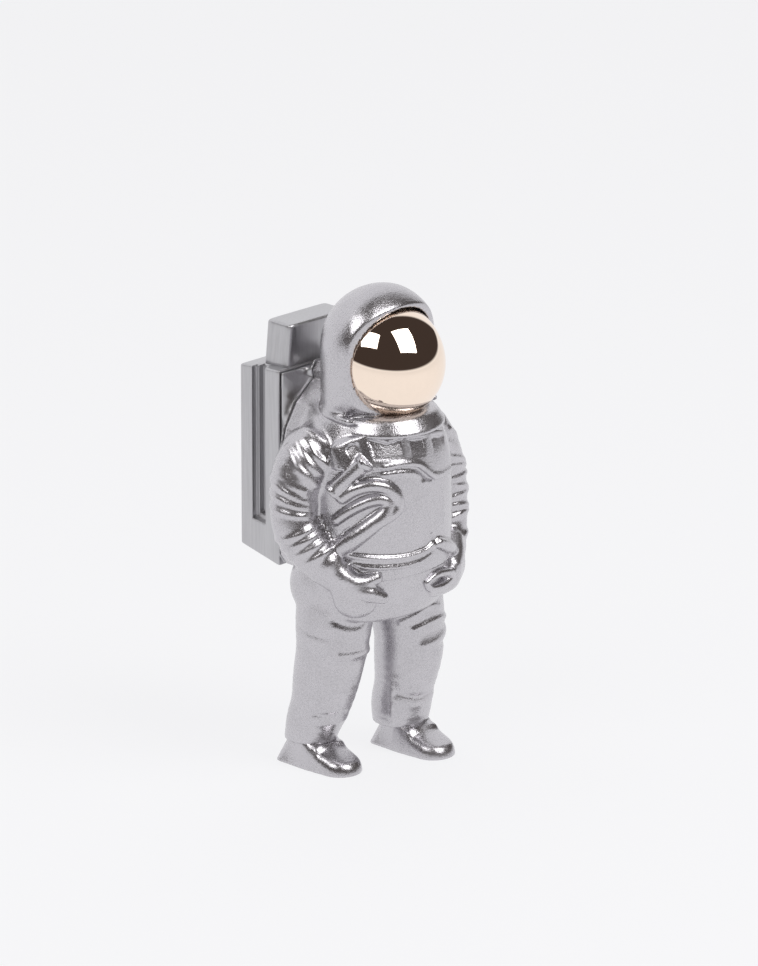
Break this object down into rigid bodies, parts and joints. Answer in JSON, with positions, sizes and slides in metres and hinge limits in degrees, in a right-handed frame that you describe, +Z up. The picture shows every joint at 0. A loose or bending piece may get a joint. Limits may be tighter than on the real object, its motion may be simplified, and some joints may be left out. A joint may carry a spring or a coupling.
{
  "type": "astronaut statuette",
  "caption": "Cast metal astronaut statuette standing with its hands on its hips, with a mirror visor and a magnet-held backpack that pulls straight off.",
  "frame": {"origin": "on the floor, under the middle of the statuette's width and depth", "axes": "+Z up; the figure faces -Y; its right hand is at -X"},
  "size_m": [0.0504, 0.0414, 0.0999],
  "materials": {
    "tumbled_zinc": "tumbled satin",
    "satin_zinc": "brushed satin",
    "rose_gold": "mirror polished",
    "nickel": "nickel plated",
    "steel": "ground"
  },
  "bodies": {
    "figure": {"suit_casting": "tumbled_zinc", "visor": "rose_gold", "body_magnet_upper": "nickel", "body_magnet_lower": "nickel"},
    "backpack": {"pack_shell": "satin_zinc", "pack_saddle": "satin_zinc", "pack_top_unit": "satin_zinc", "pack_magnet_upper": "nickel", "pack_magnet_lower": "nickel", "dowel_right": "steel", "dowel_left": "steel", "saddle_screw_upper": "steel", "saddle_screw_lower": "steel"}
  },
  "joints": [
    {"name": "backpack_pull", "type": "slide", "parent": "figure", "child": "backpack", "axis": [0, 1, 0], "range_m": [0, 0.03]}
  ]
}
